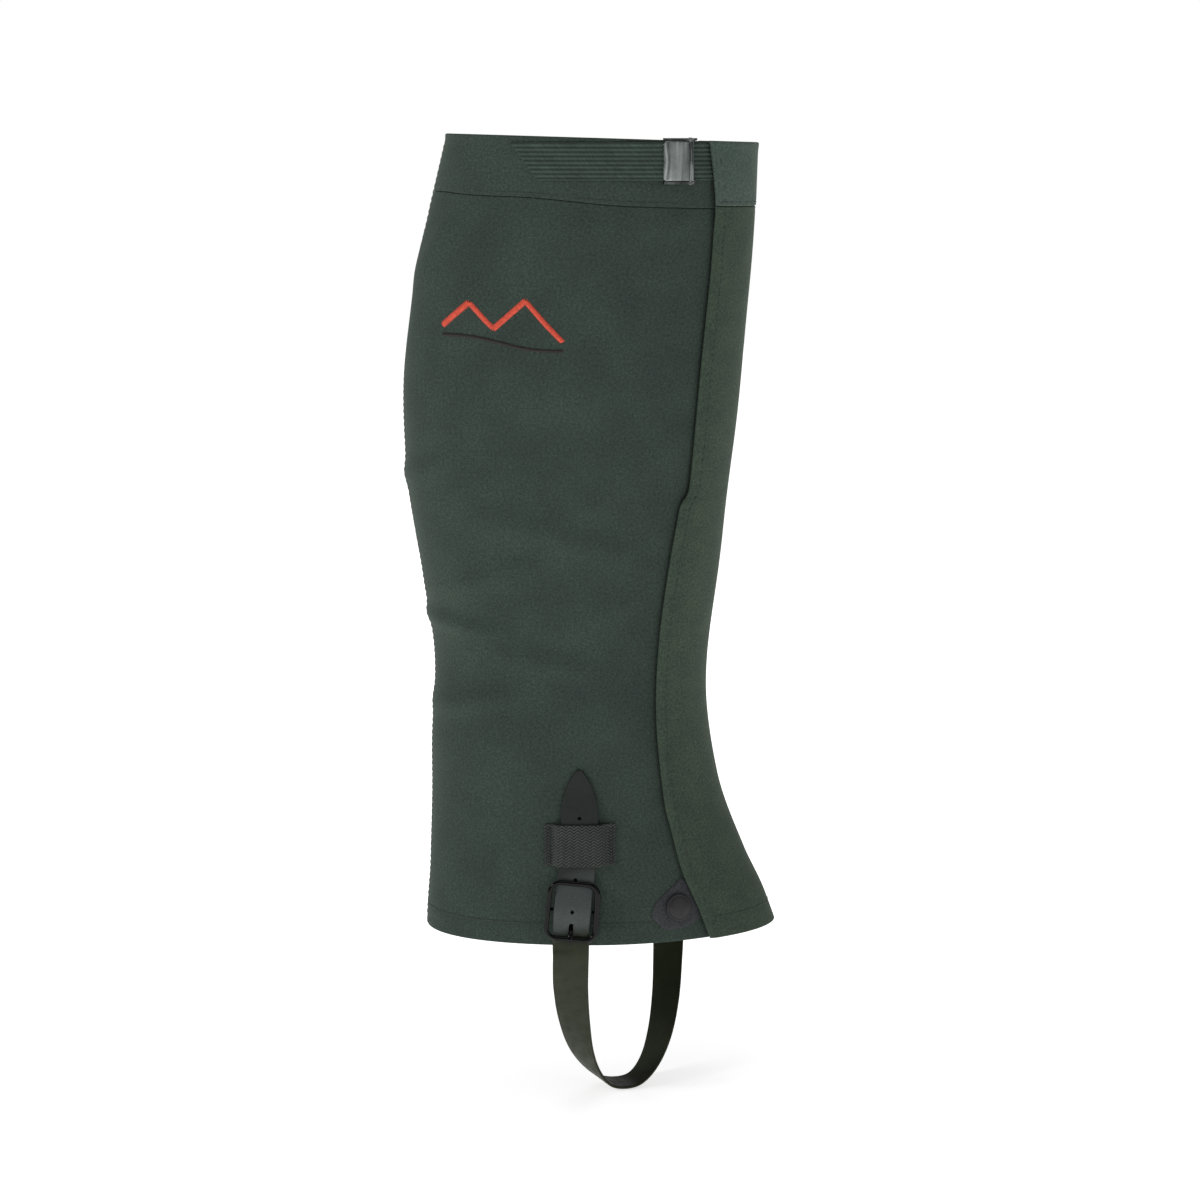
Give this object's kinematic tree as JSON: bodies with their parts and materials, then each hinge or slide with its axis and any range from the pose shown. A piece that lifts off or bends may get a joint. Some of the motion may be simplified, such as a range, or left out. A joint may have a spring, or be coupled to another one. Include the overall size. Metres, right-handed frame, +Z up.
{
  "type": "hiking gaiter",
  "caption": "Tall wrap-around fabric leg gaiter with a front flap, a cam-buckled elastic top strap and a buckled instep strap under the boot.",
  "frame": {"origin": "middle of the bottom opening, in the plane of the hem, where the gaiter sits round the boot", "axes": "+Z up the leg, +X towards the toe, -Y the outer (lateral) side of a right leg, which carries both buckles"},
  "size_m": [0.2093, 0.1255, 0.5409],
  "materials": {
    "shell_fabric": "brushed softshell",
    "flap_fabric": "brushed softshell",
    "cuff_fabric": "brushed softshell",
    "inner_tape": "woven tape",
    "hook_and_loop": "hook and loop",
    "elastic_webbing": "ribbed elastic",
    "black_webbing": "nylon webbing",
    "instep_rubber": "coated strap",
    "gunmetal": "polished gunmetal plate",
    "black_enamel": "gloss enamel",
    "snap_enamel": "satin enamel",
    "steel": "plated",
    "patch_fabric": "coated reinforcement",
    "orange_thread": "satin stitch",
    "brown_thread": "running stitch"
  },
  "bodies": {
    "shell": {"lateral_panel": "shell_fabric", "medial_panel": "shell_fabric", "underlap": "shell_fabric", "lateral_cuff": "cuff_fabric", "medial_cuff": "cuff_fabric", "back_seam_tape": "inner_tape", "lateral_hem_facing": "inner_tape", "medial_hem_facing": "inner_tape", "hook_tape": "hook_and_loop", "top_strap": "elastic_webbing", "cam_anchor": "black_webbing", "cam_frame": "gunmetal", "cam_pin": "gunmetal", "instep_strap_tail": "instep_rubber", "instep_strap_medial_end": "instep_rubber", "instep_buckle": "black_enamel", "buckle_tab": "black_webbing", "keeper": "black_webbing", "snap_cap": "snap_enamel", "snap_socket": "steel", "snap_patch": "patch_fabric", "lace_hook_tab": "black_webbing", "motif_peaks": "orange_thread", "motif_line": "brown_thread"},
    "front_flap": {"front_flap": "flap_fabric", "flap_cuff": "cuff_fabric", "loop_tape": "hook_and_loop"},
    "cam_lever": {"cam_lever": "gunmetal"},
    "instep_loop": {"instep_strap_loop": "instep_rubber"},
    "buckle_prong": {"buckle_prong": "black_enamel"},
    "snap_tab": {"snap_tab": "black_webbing", "snap_stud": "steel"},
    "lace_hook": {"lace_hook": "steel"}
  },
  "joints": [
    {"name": "flap_hinge", "type": "hinge", "parent": "shell", "child": "front_flap", "pos_m": [0.0415, 0.048, 0.22], "axis": [0, 0, 1], "range_deg": [0, 75]},
    {"name": "cam_lever_hinge", "type": "hinge", "parent": "shell", "child": "cam_lever", "pos_m": [0.04786, -0.05275, 0.42883], "axis": [-0.0019, 0.0056, 1], "range_deg": [0, 110]},
    {"name": "instep_swing", "type": "hinge", "parent": "shell", "child": "instep_loop", "pos_m": [0.01188, -0.0033, -0.004], "axis": [0.458, 0.889, 0], "range_deg": [-20, 20]},
    {"name": "prong_hinge", "type": "hinge", "parent": "shell", "child": "buckle_prong", "pos_m": [-0.01516, -0.05794, 0.02017], "axis": [-0.9962, 0.0339, 0.08], "range_deg": [0, 10]},
    {"name": "snap_tab_hinge", "type": "hinge", "parent": "shell", "child": "snap_tab", "pos_m": [0.06952, -0.02273, 0.019], "axis": [0, 0, -1], "range_deg": [0, 40]},
    {"name": "lace_hook_swing", "type": "hinge", "parent": "shell", "child": "lace_hook", "pos_m": [0.074, 0, 0.021], "axis": [0, 1, 0], "range_deg": [0, 60]}
  ]
}
